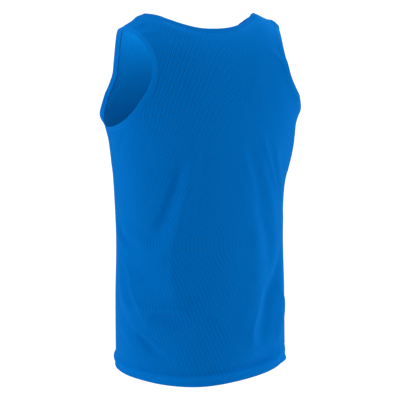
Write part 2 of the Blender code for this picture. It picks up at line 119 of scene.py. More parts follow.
def outward(side, girth, height):
    # normals of the smooth form; on a seam they lean to neither panel
    step = 1e-4
    inside = np.clip(girth, -1 + 2 * step, 1 - 2 * step)
    below = np.minimum(height, topHeight - 2 * step)
    across = smoothForm(side, inside + step, below) - smoothForm(side, inside - step, below)
    along = smoothForm(side, inside, below + step) - smoothForm(side, inside, below - step)
    normal = np.cross(across, along) * (-1 if side == "back" else 1)
    normal[onSeam(girth, height), 1] = 0
    return normal / np.linalg.norm(normal, axis=-1, keepdims=True)


def onSeam(girth, height):
    near = 1e-6
    return (np.abs(girth) > 1 - near) | (height > topHeight - near)


# Folds, each a ridge (positive rise) or a trough along a path of (girth, height) places.
folds = [
    # name, width, rise, path
    ("leftBladeTrough", 0.0133, -0.0065,
     [(0.24, -0.228), (0.29, -0.264), (0.35, -0.312), (0.40, -0.350), (0.48, -0.383), (0.56, -0.413)]),
    ("leftBladeRidge", 0.018, 0.0077,
     [(0.23, -0.238), (0.26, -0.283), (0.33, -0.351), (0.35, -0.388), (0.41, -0.415), (0.56, -0.448)]),
    ("spineTrough", 0.0132, -0.0042, [(0.10, -0.185), (0.14, -0.235), (0.18, -0.297)]),
    ("leftLoinSwell", 0.0177, 0.0041, [(0.35, -0.402), (0.47, -0.451), (0.43, -0.508), (0.38, -0.537)]),
    ("leftLoinRidge", 0.0135, 0.0067, [(0.38, -0.404), (0.39, -0.449), (0.39, -0.489), (0.33, -0.548)]),
    ("leftHemRidge", 0.0142, 0.0035,
     [(1.02, -0.423), (0.89, -0.438), (0.82, -0.476), (0.77, -0.495),
      (0.75, -0.526), (0.62, -0.566), (0.55, -0.601)]),
    ("leftHemTrough", 0.0145, -0.0026,
     [(0.91, -0.471), (0.89, -0.524), (0.79, -0.539), (0.72, -0.569), (0.67, -0.583)]),
    ("leftSideRidge", 0.018, 0.0092,
     [(0.99, -0.426), (0.95, -0.473), (0.89, -0.529), (0.81, -0.554), (0.66, -0.590)]),
    ("leftLoinHollow", 0.018, -0.0030,
     [(0.87, -0.468), (0.73, -0.478), (0.63, -0.494), (0.51, -0.544)]),
    ("leftWaistTrough", 0.0075, -0.0064,
     [(0.99, -0.379), (1.00, -0.408), (0.87, -0.425), (0.68, -0.429)]),
    ("leftRibTrough", 0.0119, -0.0047,
     [(0.89, -0.384), (0.77, -0.388), (0.63, -0.398), (0.51, -0.407)]),
    ("leftRibHollow", 0.0096, -0.0017, [(0.85, -0.397), (0.68, -0.409), (0.57, -0.426)]),
    ("leftLowTrough", 0.0136, -0.0041,
     [(0.98, -0.585), (0.89, -0.577), (0.72, -0.601), (0.63, -0.619),
      (0.56, -0.631), (0.47, -0.649), (0.34, -0.659)]),
    ("leftCornerRidge", 0.0136, 0.0017,
     [(1.03, -0.623), (0.91, -0.640), (0.75, -0.624), (0.67, -0.650)]),
    ("loinShelf", 0.0085, 0.0070,
     [(0.73, -0.557), (0.53, -0.553), (0.37, -0.550), (0.29, -0.554), (0.22, -0.562)]),
    ("loinShelfLine", 0.0065, 0.0028,
     [(0.65, -0.554), (0.54, -0.551), (0.43, -0.549), (0.32, -0.551), (0.24, -0.557), (0.18, -0.570)]),
    ("loinShelfHollow", 0.0144, -0.0036,
     [(0.64, -0.570), (0.49, -0.565), (0.33, -0.579), (0.24, -0.575)]),
    ("rightLongRidge", 0.018, 0.0049,
     [(-0.04, -0.227), (-0.08, -0.272), (-0.16, -0.328), (-0.22, -0.379),
      (-0.24, -0.408), (-0.22, -0.483), (-0.26, -0.515)]),
    ("rightLongHollow", 0.0169, -0.0057,
     [(-0.11, -0.259), (-0.17, -0.316), (-0.23, -0.358), (-0.27, -0.392),
      (-0.37, -0.442), (-0.37, -0.527)]),
    ("rightSideRidge", 0.0135, 0.0033,
     [(-0.17, -0.215), (-0.21, -0.257), (-0.28, -0.305), (-0.38, -0.356), (-0.49, -0.423)]),
    ("rightOuterRidge", 0.0114, 0.0036, [(-0.34, -0.237), (-0.41, -0.288), (-0.56, -0.358)]),
    ("rightGatheredTrough", 0.018, -0.0095,
     [(-0.65, -0.450), (-0.55, -0.485), (-0.47, -0.514), (-0.36, -0.546),
      (-0.32, -0.578), (-0.27, -0.621), (-0.25, -0.652)]),
    ("rightGatheredRidge", 0.018, 0.0040,
     [(-0.40, -0.477), (-0.28, -0.489), (-0.19, -0.527), (-0.22, -0.538),
      (-0.12, -0.586), (-0.16, -0.626), (-0.17, -0.640)]),
    ("rightHemTrough", 0.0169, -0.0095,
     [(-0.57, -0.673), (-0.44, -0.668), (-0.37, -0.667), (-0.21, -0.674),
      (-0.09, -0.674), (0.04, -0.664)]),
    ("rightHemRidge", 0.018, 0.0063, [(-0.58, -0.500), (-0.50, -0.612), (-0.43, -0.643)]),
    ("leftUnderarmCrease", 0.006, -0.0020,
     [(0.72, -0.206), (0.80, -0.222), (0.86, -0.238), (0.89, -0.262)]),
    ("leftStrapPleat", 0.0055, 0.0017, [(0.46, 0.045), (0.41, 0.041), (0.36, 0.034)]),
    ("leftStrapRidge", 0.0055, 0.0019, [(0.44, 0.018), (0.39, 0.008), (0.33, -0.008)]),
    ("rightLowRidge", 0.009, 0.0042, [(-0.53, -0.544), (-0.59, -0.582), (-0.53, -0.625)]),
    ("rightBladeRidge", 0.01, 0.0010, [(-0.28, -0.061), (-0.35, -0.087), (-0.45, -0.104)]),
    ("rightBladeRing", 0.0142, 0.0014,
     [(-0.23, -0.038), (-0.18, -0.082), (-0.14, -0.118), (-0.19, -0.155), (-0.23, -0.180)]),
    ("loinEdgeHollow", 0.0111, -0.0011, [(0.22, -0.571), (0.18, -0.591), (0.18, -0.623)]),
    ("loinEdgeTrough", 0.018, -0.0038, [(0.13, -0.560), (0.11, -0.586), (0.12, -0.626)]),
    ("rightTearRidge", 0.0108, 0.0018, [(-0.28, -0.538), (-0.19, -0.583), (-0.14, -0.625)]),
    ("leftSideLine", 0.0055, 0.0032,
     [(0.99, -0.448), (0.89, -0.463), (0.81, -0.490), (0.79, -0.513),
      (0.73, -0.537), (0.66, -0.566), (0.62, -0.587)]),
    ("leftHemLine", 0.0065, 0.0036,
     [(0.95, -0.548), (0.84, -0.575), (0.74, -0.594), (0.61, -0.609), (0.50, -0.628), (0.41, -0.644)]),
    ("leftHemHollow", 0.007, -0.0026, [(0.78, -0.604), (0.71, -0.609), (0.63, -0.626), (0.55, -0.643)]),
    ("leftCornerLine", 0.006, 0.0020, [(1.00, -0.589), (0.88, -0.612), (0.78, -0.627), (0.74, -0.643)]),
    ("rightHemLine", 0.008, 0.0024,
     [(0.12, -0.664), (0.00, -0.666), (-0.15, -0.667), (-0.30, -0.667), (-0.45, -0.668)]),
    ("loinArc", 0.007, 0.0027, [(0.21, -0.546), (0.14, -0.555), (0.07, -0.577), (0.03, -0.602)]),
    ("rightLongLine", 0.006, 0.0026,
     [(-0.06, -0.234), (-0.10, -0.272), (-0.15, -0.302), (-0.19, -0.340)]),
    ("rightSideLine", 0.006, 0.0028,
     [(-0.19, -0.210), (-0.25, -0.247), (-0.35, -0.299), (-0.46, -0.350)]),
    ("rightStrapLine", 0.006, 0.0020,
     [(-0.29, -0.050), (-0.33, -0.062), (-0.38, -0.077), (-0.42, -0.096)]),
    ("leftBladeLine", 0.007, -0.0024,
     [(0.31, -0.268), (0.34, -0.293), (0.39, -0.320), (0.45, -0.352), (0.52, -0.384)]),
    ("rightTearLine", 0.0065, 0.0025,
     [(-0.27, -0.555), (-0.21, -0.579), (-0.17, -0.603), (-0.17, -0.621), (-0.20, -0.639)]),
    ("rightArmholeSwell", 0.021, 0.0056,
     [(-0.50, 0.040), (-0.47, -0.030), (-0.49, -0.095), (-0.64, -0.165), (-0.88, -0.200)]),
    ("leftNeckSwell", 0.012, 0.0020, [(0.08, -0.018), (0.20, 0.000), (0.31, 0.030)]),
    ("rightNeckDip", 0.012, -0.0048, [(-0.12, 0.000), (-0.19, 0.022), (-0.26, 0.038), (-0.32, 0.048)]),
    ("rightRibSwell", 0.028, 0.0046, [(-0.70, -0.205), (-0.73, -0.255), (-0.74, -0.312)]),
    ("rightWaistHollow", 0.024, -0.0050, [(-0.73, -0.300), (-0.72, -0.355), (-0.71, -0.408)]),
    ("leftUnderarmHollow", 0.027, -0.0062, [(1.12, -0.205), (1.24, -0.240), (1.34, -0.282)]),
    ("hemFlare", 0.052, 0.0085, [(0.24, -0.540), (0.22, -0.690), (0.22, -0.840)]),
    ("rightHemCorner", 0.02, 0.0088, [(-0.63, -0.690), (-0.62, -0.720), (-0.61, -0.750)]),
    ("leftHemCorner", 0.022, 0.0010, [(1.06, -0.640), (1.06, -0.700), (1.06, -0.760)]),
    ("leftHemTuck", 0.045, -0.0045, [(0.70, -0.640), (0.70, -0.700), (0.70, -0.760)]),
    ("leftShoulderSwell", 0.01, 0.0032, [(0.39, 0.030), (0.39, 0.078), (0.39, 0.126)]),
    ("leftShoulderFront", 0.01, 0.0032, [(1.61, 0.030), (1.61, 0.078), (1.61, 0.126)]),
    ("rightShoulderSwell", 0.01, 0.0044, [(-0.50, 0.030), (-0.50, 0.078), (-0.50, 0.126)]),
    ("rightShoulderFront", 0.01, 0.0044, [(-1.50, 0.030), (-1.50, 0.078), (-1.50, 0.126)]),
    ("leftArmholeCrease", 0.0085, -0.0026,
     [(1.36, -0.182), (1.46, -0.166), (1.56, -0.146), (1.66, -0.128)]),
    ("leftChestRidge", 0.017, 0.0050, [(1.18, -0.215), (1.42, -0.320), (1.62, -0.440)]),
    ("leftChestTrough", 0.018, -0.0040, [(1.12, -0.270), (1.32, -0.365), (1.52, -0.480)]),
    ("rightChestRidge", 0.017, 0.0052,
     [(-1.16, -0.220), (-1.38, -0.340), (-1.52, -0.470), (-1.56, -0.570)]),
    ("leftFrontHemRidge", 0.015, 0.0046, [(1.32, -0.470), (1.50, -0.560), (1.76, -0.645)]),
    ("leftFrontHemTrough", 0.016, -0.0040, [(1.36, -0.540), (1.52, -0.612), (1.72, -0.662)]),
    ("bellyRidge", 0.02, 0.0034, [(1.92, -0.240), (1.86, -0.360), (1.80, -0.470)]),
    ("lowBellyRidge", 0.018, 0.0038, [(2.16, -0.380), (2.22, -0.490), (2.12, -0.620)]),
    ("breastRidge", 0.014, 0.0024, [(-1.50, -0.130), (-1.66, -0.205), (-1.76, -0.290)]),
]
foldShape = {"steps": 24, "endShare": 0.04, "fadePower": 0.8, "reach": 3.2}
wholeGirth = 4    # once round, in quarters


def foldLift(side, girth, height):
    quarter = body["quarterGirth"]
    roundGirth = girth if side == "back" else np.where(girth < 0, -2 - girth, 2 - girth)
    lift = np.zeros_like(girth)
    for name, width, rise, path in folds:
        places = np.array(path)
        knots = np.linspace(0, 1, len(places))
        at = np.linspace(0, 1, foldShape["steps"] + 1)
        line = np.stack([smoothBetween(knots, places[:, 0] * quarter, at),
                         smoothBetween(knots, places[:, 1], at)], -1)
        start, run = line[:-1], np.diff(line, axis=0)
        reach = foldShape["reach"] * width
        for turn in (-wholeGirth, 0, wholeGirth):
            place = np.stack([(roundGirth + turn) * quarter, height], -1)
            near = ((place > line.min(0) - reach) & (place < line.max(0) + reach)).all(-1)
            if not near.any():
                continue
            offset = place[near, None] - start[None]
            share = np.clip((offset * run).sum(-1) / (run ** 2).sum(-1), 0, 1)
            distance = np.linalg.norm(offset - share[..., None] * run, axis=-1)
            nearest = distance.argmin(1)
            rows = np.arange(len(nearest))
            along = (nearest + share[rows, nearest]) / foldShape["steps"]
            end = foldShape["endShare"]
            fade = np.sin(math.pi * np.clip(along, end, 1 - end)) ** foldShape["fadePower"]
            lift[near] += rise * fade * np.exp(-(distance[rows, nearest] / width) ** 2)
    return lift


hem = {
    "depth": 0.021,        # turned-up band
    "foldRadius": 0.00095,
    "foldSteps": 6,
    "swell": 0.0042,       # the sewn edge of the doubled band stands up as a soft roll
    "swellFrom": 0.0222,
    "swellTo": 0.0158,
    "stitchDip": 0.0007,   # and the cloth dips just above it
    "dipAt": 0.0245,
    "dipWidth": 0.0028,
    "tuckIn": 0.0034,      # falls back in below that
    "tuckTo": 0.0068,
    "lip": 0.0012,         # and turns out a little at the very edge
    "lipTo": 0.0048,
    # between two girths, near the right side, the band turns flatter by a share
    "flatEnd": (-0.45, -0.60, 0.85),
}


def hemLift(girth, height):
    up = height - body["hemZ"]
    start, end, share = hem["flatEnd"]
    relief = 1 - share * np.clip((start - girth) / (start - end), 0, 1)
    rise = np.clip((hem["swellFrom"] - up) / (hem["swellFrom"] - hem["swellTo"]), 0, 1)
    swell = hem["swell"] * rise * rise * (3 - 2 * rise)
    fall = np.clip((hem["swellTo"] - up) / (hem["swellTo"] - hem["tuckTo"]), 0, 1)
    tuck = hem["tuckIn"] * fall * fall * (3 - 2 * fall)
    lip = hem["lip"] * np.clip(1 - up / hem["lipTo"], 0, 1) ** 2
    dip = hem["stitchDip"] * np.exp(-((up - hem["dipAt"]) / hem["dipWidth"]) ** 2)
    return relief * (swell - tuck + lip) - dip


def clothPoints(side, girth, height):
    normal = outward(side, girth, height)
    lift = foldLift(side, girth, height) + hemLift(girth, height)
    return smoothForm(side, girth, height) + lift[:, None] * normal, normal


# where the cloth is cut
cut = {
    "neckHalfWidth": 0.126,
    "strapHalfSpan": 0.158,
    "neckZ": {"back": -0.0238, "front": -0.077},
    "neckRoundness": {"back": 1.95, "front": 1.0},
    "underarmZ": -0.208,
    "narrowX": {"back": 0.130, "front": 0.144},
    "narrowZ": {"back": -0.070, "front": -0.098},
    "armholePower": {"back": 1.93, "front": 1.74},
    "strapCurveLow": 2.1,
    "strapCurveTop": 1.7,
    "neckTurn": 0.62,      # share of the neckline below the straps
}


def neckEdge(side, t):
    lowest = heightAtZ(cut["neckZ"][side])
    widest = girthAtX(side, cut["neckHalfWidth"], topHeight)
    turn = t * math.pi / 2
    rise = 1 - np.maximum(np.cos(turn), 0) ** cut["neckRoundness"][side]
    return np.stack([widest * np.sin(turn), lowest + (topHeight - lowest) * rise], -1)


def lowerArmhole(side, t):
    narrowHeight = heightAtZ(cut["narrowZ"][side])
    narrowGirth = girthAtX(side, cut["narrowX"][side], narrowHeight)
    turn, power = t * math.pi / 2, 2 / cut["armholePower"][side]
    girth = 1 - (1 - narrowGirth) * np.maximum(np.sin(turn), 0) ** power
    height = narrowHeight + (cut["underarmZ"] - narrowHeight) * np.maximum(np.cos(turn), 0) ** power
    return np.stack([girth, height], -1)


def upperArmhole(side, t):
    girth, height = lowerArmhole(side, np.array([1.0]))[0]
    tip = girthAtX(side, cut["strapHalfSpan"], topHeight)
    spread = 1 - (1 - t ** cut["strapCurveLow"]) ** cut["strapCurveTop"]
    return np.stack([girth + (tip - girth) * spread, height + (topHeight - height) * t], -1)


# rows and columns of a panel, and its wall
panel = {
    "neckColumns": 26,
    "strapColumns": 15,
    "armholeColumns": 42,
    "strapRows": 36,
    "bandRows": 24,        # rows up the hem band and just past its sewn edge
    "bandTop": 0.027,
    "bodyRows": 190,
    "levelShare": 0.60,    # share of the rows that run level
    "levelZ": -0.33,
    "turnedRows": 8,       # rows of the turned-up layer
    "wall": 0.0009,
}


def bodyShares():
    perMetre = panel["levelShare"] / (panel["levelZ"] - body["hemZ"])
    low = np.linspace(hem["foldRadius"], panel["bandTop"], panel["bandRows"]) * perMetre
    return np.concatenate([low[:-1], np.linspace(low[-1], 1, panel["bodyRows"])])


def halfPanel(side):
    neck = neckEdge(side, np.linspace(0, cut["neckTurn"], panel["neckColumns"] + 1))
    armhole = lowerArmhole(side, np.linspace(1, 0, panel["armholeColumns"] + 1))
    across = np.linspace(0, 1, panel["strapColumns"] + 1)[:, None]
    strapFoot = neck[-1] * (1 - across) + armhole[0] * across
    top = np.concatenate([neck, strapFoot[1:], armhole[1:]])
    share = bodyShares()
    level = np.minimum(share / panel["levelShare"], 1)
    climb = np.maximum((share - panel["levelShare"]) / (1 - panel["levelShare"]), 0)
    girth = np.linspace(0, 1, len(top))[:, None] * (1 - share ** 2) + top[:, :1] * share ** 2
    height = body["hemZ"] + (panel["levelZ"] - body["hemZ"]) * level
    height = height + (top[:, 1:] - panel["levelZ"]) * climb
    inner = neckEdge(side, np.linspace(cut["neckTurn"], 1, panel["strapRows"] + 1))
    outer = upperArmhole(side, np.linspace(0, 1, panel["strapRows"] + 1))
    strap = inner[None] * (1 - across[:, :, None]) + outer[None] * across[:, :, None]
    return girth, height, strap


def panelPlaces(side):
    # girth, height and hem turn (0 outside, pi on the turned-up layer) of each place, with its faces
    girth, height, strap = halfPanel(side)
    columns, rows = girth.shape[0] - 1, girth.shape[1] - 1
    foot = body["hemZ"] + hem["foldRadius"]
    turned = np.linspace(hem["depth"] + body["hemZ"], foot, panel["turnedRows"])
    hemRows = [(z, math.pi) for z in turned[:-1]]
    hemRows += [(foot, math.pi * (1 - i / hem["foldSteps"])) for i in range(hem["foldSteps"])]
    places, index = [], {}

    def put(key, *values):
        index[key] = len(places)
        places.append(values)

    for column in range(-columns, columns + 1):
        sign = (column > 0) - (column < 0)
        for row, (z, turn) in enumerate(hemRows):
            put(("body", column, row - len(hemRows)), sign * girth[abs(column), 0], z, turn)
        for row in range(rows + 1):
            put(("body", column, row), sign * girth[abs(column), row], height[abs(column), row], 0)
    for hand in (-1, 1):
        for column in range(panel["strapColumns"] + 1):
            index["strap", hand, column, 0] = index["body", hand * (panel["neckColumns"] + column), rows]
            for row in range(1, panel["strapRows"] + 1):
                put(("strap", hand, column, row), hand * strap[column, row, 0], strap[column, row, 1], 0)

    faces = []
    for column in range(-columns, columns):
        for row in range(-len(hemRows), rows):
            corners = ((column, row), (column + 1, row), (column + 1, row + 1), (column, row + 1))
            faces.append([index["body", c, r] for c, r in corners])
    for hand in (-1, 1):
        for column in range(panel["strapColumns"]):
            for row in range(panel["strapRows"]):
                corners = ((column, row), (column + 1, row), (column + 1, row + 1), (column, row + 1))
                face = [index["strap", hand, c, r] for c, r in corners]
                faces.append(face if hand > 0 else face[::-1])
    if side == "back":
        faces = [face[::-1] for face in faces]
    return np.array(places, float), faces, index


def sheetPoints(side, places):
    girth, height, turn = places.T
    point, normal = clothPoints(side, girth, height)
    down = np.array([0, 0, -1.0])
    radius = hem["foldRadius"]
    cosine, sine = np.cos(turn)[:, None], np.sin(turn)[:, None]
    point = point + normal * (radius * (cosine - 1)) + down * (radius * sine)
    return point, normal * cosine + down * sine


def clothMap(side, places):
    # flat coordinates of the cloth in metres, for the knit
    girth, height, turn = places.T
    u = girth * body["quarterGirth"]
    v = np.where(turn == math.pi, 2 * body["hemZ"] - height, height)
    return np.stack([u, v], -1)


def addPiece(name, points, faces, uv, materials, sharp=(), reverse=range(0)):
    mesh = bpy.data.meshes.new(name)
    bm = bmesh.new()
    verts = [bm.verts.new(point) for point in points]
    for i, face in enumerate(faces):
        bm.faces.new([verts[k] for k in face]).material_index = int(i in reverse)
    layer = bm.loops.layers.uv.new("cloth")
    bm.verts.index_update()
    for face in bm.faces:
        face.smooth = True
        for loop in face.loops:
            loop[layer].uv = uv[loop.vert.index]
    for a, b in sharp:
        bm.edges.get((verts[a], verts[b])).smooth = False
    bm.to_mesh(mesh)
    bm.free()
    for material in materials:
        mesh.materials.append(material)
    obj = bpy.data.objects.new(name, mesh)
    bpy.context.scene.collection.objects.link(obj)
    return obj


def buildPanel(side, name, node, materials):
    places, faces, index = panelPlaces(side)
    points, facing = sheetPoints(side, places)
    uv = clothMap(side, places)
    count = len(points)
    inner = points - facing * panel["wall"]
    edges = [pair for face in faces for pair in zip(face, face[1:] + face[:1])]
    shared = set(edges)
    free = [(a, b) for a, b in edges if (b, a) not in shared]
    rim = [[b, a, a + count, b + count] for a, b in free]
    under = [[i + count for i in reversed(face)] for face in faces]
    sharp = free + [(a + count, b + count) for a, b in free]
    obj = addPiece(name, np.concatenate([points, inner]), faces + under + rim,
                   np.concatenate([uv, uv]), materials, sharp, range(len(faces), 2 * len(faces)))
    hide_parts(node)
    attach(obj, "root")
    return obj, points, facing, index


# the folded strips round the neck and the armholes
binding = {
    "width": 0.010,
    "middle": 0.00045,     # depth of its middle below the panel's face
    # how far it leans outwards, by hand: under the arm, then at the shoulder on back and front
    "flareUnderarm": {1: 0.51, -1: 0.15},
    "flareShoulder": {1: (-0.28, -0.35), -1: (-0.25, -0.05)},
    "flareCurve": {1: (1.5, 7.0), -1: (1.5, 1.5)},    # how late it turns in along the strap
    # on the front, places from the underarm up where it leans further out or in: place, width, lean
    "flareWaves": {1: [(0.43, 0.13, 0.44), (0.66, 0.08, -0.16), (0.14, 0.11, -0.34)], -1: []},
    "neckFlare": 0.05,
    "neckFlareShoulder": -0.35,
    "neckFlareCurve": 4.0,
    # share of the width, half thickness in mm; the dip is where it is sewn
    "profile": [(-0.12, 0.47), (-0.08, 0.56), (0.06, 0.64), (0.20, 0.72), (0.36, 0.76), (0.46, 0.76),
                (0.56, 0.80), (0.70, 0.84), (0.86, 0.84), (0.96, 0.74), (1.00, 0.48)],
    "tip": 1.03,           # share of the width at the folded edge
    "leanFrom": 0.2,       # share of the width past which it has its full lean
    "patternFrom": -0.2,   # share of the width where its flat coordinate is 0
}


def joinedLoop(first, second):
    start = (first[0] + second[0]) / 2
    end = (first[-1] + second[-1]) / 2
    return np.concatenate([[start], first[1:-1], [end], second[-2:0:-1]])


def unit(vectors):
    return vectors / np.linalg.norm(vectors, axis=-1, keepdims=True)


def buildBinding(name, node, edge, normals, flare, panelWay, material):
    normals = unit(normals)
    along = np.roll(edge, -1, axis=0) - np.roll(edge, 1, axis=0)
    across = unit(np.cross(along, normals))
    if across[0] @ panelWay > 0:
        across = -across
    lean = flare[:, None]
    out = np.cos(lean) * across + np.sin(lean) * normals
    face = np.cos(lean) * normals - np.sin(lean) * across
    middle = edge - normals * binding["middle"]
    profile = binding["profile"]
    ring = profile + [(binding["tip"], 0.0)]
    ring += [(share, -half) for share, half in reversed(profile)]
    points, uv = [], []
    run = np.concatenate([[0], np.cumsum(np.linalg.norm(np.diff(edge, axis=0), axis=1))])
    for i in range(len(edge)):
        for j, (share, half) in enumerate(ring):
            blend = min(max(share / binding["leanFrom"], 0), 1)
            up = normals[i] * (1 - blend) + face[i] * blend
            way = out[i] if share > 0 else across[i]
            points.append(middle[i] + binding["width"] * share * way + half / 1000 * up)
            # positive on the face and negative on the reverse
            place = (share - binding["patternFrom"]) * binding["width"]
            uv.append((run[i], place if half >= 0 else -place))
    steps, sides = len(edge), len(ring)
    faces = []
    for i in range(steps):
        for j in range(sides):
            a, b = i * sides + j, i * sides + (j + 1) % sides
            c, d = (i + 1) % steps * sides + (j + 1) % sides, (i + 1) % steps * sides + j
            faces.append([a, b, c, d])
    points = np.array(points)
    first = points[faces[0]]
    if np.cross(first[1] - first[0], first[3] - first[0]) @ normals[0] < 0:
        faces = [f[::-1] for f in faces]
    sharp = [(i * sides + s, (i + 1) % steps * sides + s) for i in range(steps) for s in (0, sides - 1)]
    obj = addPiece(name, points, faces, np.array(uv), [material], sharp)
    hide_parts(node)
    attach(obj, "root")
    return obj


def armholeRun(index, hand):
    foot = panel["neckColumns"] + panel["strapColumns"]
    last = foot + panel["armholeColumns"]
    top = len(bodyShares()) - 1
    low = [index["body", hand * column, top] for column in range(last, foot, -1)]
    outer = panel["strapColumns"]
    return low + [index["strap", hand, outer, row] for row in range(panel["strapRows"] + 1)]


def neckRun(index, hand):
    top = len(bodyShares()) - 1
    low = [index["body", hand * column, top] for column in range(panel["neckColumns"])]
    return low + [index["strap", hand, 0, row] for row in range(panel["strapRows"] + 1)]


def armholeFlare(hand):
    upper = np.linspace(0, 1, panel["strapRows"] + 1)
    start, runs = binding["flareUnderarm"][hand], []
    for end, curve in zip(binding["flareShoulder"][hand], binding["flareCurve"][hand]):
        share = np.concatenate([np.zeros(panel["armholeColumns"]), upper ** curve])[:, None]
        runs.append(start + (end - start) * share)
    way = np.arange(len(runs[1])) / panel["armholeColumns"]
    for at, width, lean in binding["flareWaves"][hand]:
        runs[1][:, 0] += lean * np.exp(-((way - at) / width) ** 2)
    return joinedLoop(*runs)[:, 0]


def neckFlare():
    share = np.linspace(0, 1, panel["neckColumns"] + panel["strapRows"] + 1) ** binding["neckFlareCurve"]
    run = binding["neckFlare"] + (binding["neckFlareShoulder"] - binding["neckFlare"]) * share[:, None]
    side = np.concatenate([run[::-1], run[1:]])
    return joinedLoop(side, side)[:, 0]


# helpers for the materials
def newGroup(name, inputs, outputs):
    tree = bpy.data.node_groups.new(name, "ShaderNodeTree")
    for label, kind, value in inputs:
        socket = tree.interface.new_socket(name=label, in_out="INPUT", socket_type=kind)
        if value is not None:
            socket.default_value = value
    for label, kind in outputs:
        tree.interface.new_socket(name=label, in_out="OUTPUT", socket_type=kind)
    return tree, tree.nodes.new("NodeGroupInput"), tree.nodes.new("NodeGroupOutput")


def feed(tree, socket, value):
    if isinstance(value, (int, float, tuple)):
        socket.default_value = value
    else:
        tree.links.new(value, socket)


def mathNode(tree, operation, *values):
    node = tree.nodes.new("ShaderNodeMath")
    node.operation = operation
    for socket, value in zip(node.inputs, values):
        feed(tree, socket, value)
    return node.outputs[0]


def mapRange(tree, value, low, high, toLow, toHigh):
    node = tree.nodes.new("ShaderNodeMapRange")
    node.interpolation_type = "SMOOTHSTEP"
    tree.links.new(value, node.inputs["Value"])
    for label, number in (("From Min", low), ("From Max", high), ("To Min", toLow), ("To Max", toHigh)):
        feed(tree, node.inputs[label], number)
    return node.outputs["Result"]


def mixColour(tree, factor, first, second):
    node = tree.nodes.new("ShaderNodeMix")
    node.data_type = "RGBA"
    for place, value in ((0, factor), (6, first), (7, second)):
        feed(tree, node.inputs[place], value)
    return node.outputs[2]


def split(tree, vector):
    node = tree.nodes.new("ShaderNodeSeparateXYZ")
    tree.links.new(vector, node.inputs[0])
    return node.outputs[0], node.outputs[1]


def noise(tree, vector, scale, detail=2.0):
    node = tree.nodes.new("ShaderNodeTexNoise")
    node.inputs["Scale"].default_value = scale
    node.inputs["Detail"].default_value = detail
    tree.links.new(vector, node.inputs["Vector"])
    return node.outputs["Fac"]


meshLook = {
    # ramps: start, end, and the value at each
    "waistLean": (-0.50, -0.33, -0.33, 0.60),    # by height; sideways for each metre up
    "bladeLean": (-0.25, -0.13, 0.0, -0.18),
    "mainLines": (0.50, 1.0, 0.0, 1.0),
    "fineLines": (-0.2, 0.8, 0.0, 0.72),
    "fineLineBreaks": (-1.6, 0.6, 0.45, 1.0),
    "streakClouds": (0.35, 0.65, 0.55, 1.0),
    "eyeletClouds": (0.40, 0.60, 1.0, 0.35),
    "spineShift": (-0.36, -0.24, 0.0, 0.03),     # by height
    # painted light: these ramps fade the pattern where the side and top lights fall
    "spineInShade": (-0.040, 0.035, 0.40, 1.0),     # by girth in metres, as the next
    "sideInLight": (0.150, 0.225, 1.0, 0.45),
    "strapInLight": (-0.060, -0.005, 1.0, 0.50),   # by height
    "eyeletsInLight": (0.2, 1.0, 0.55, 1.0),
    "waistDepth": 0.415,   # below the origin, where the lean turns round
    "bladeDepth": 0.19,    # and where the blades' own lean is counted from
    "eyeletFull": 1.9,     # where on the waves, which add up to 2
    "cloudScale": 22.0,
    "grainScale": 900.0,
    "grainHeight": 0.25,
}


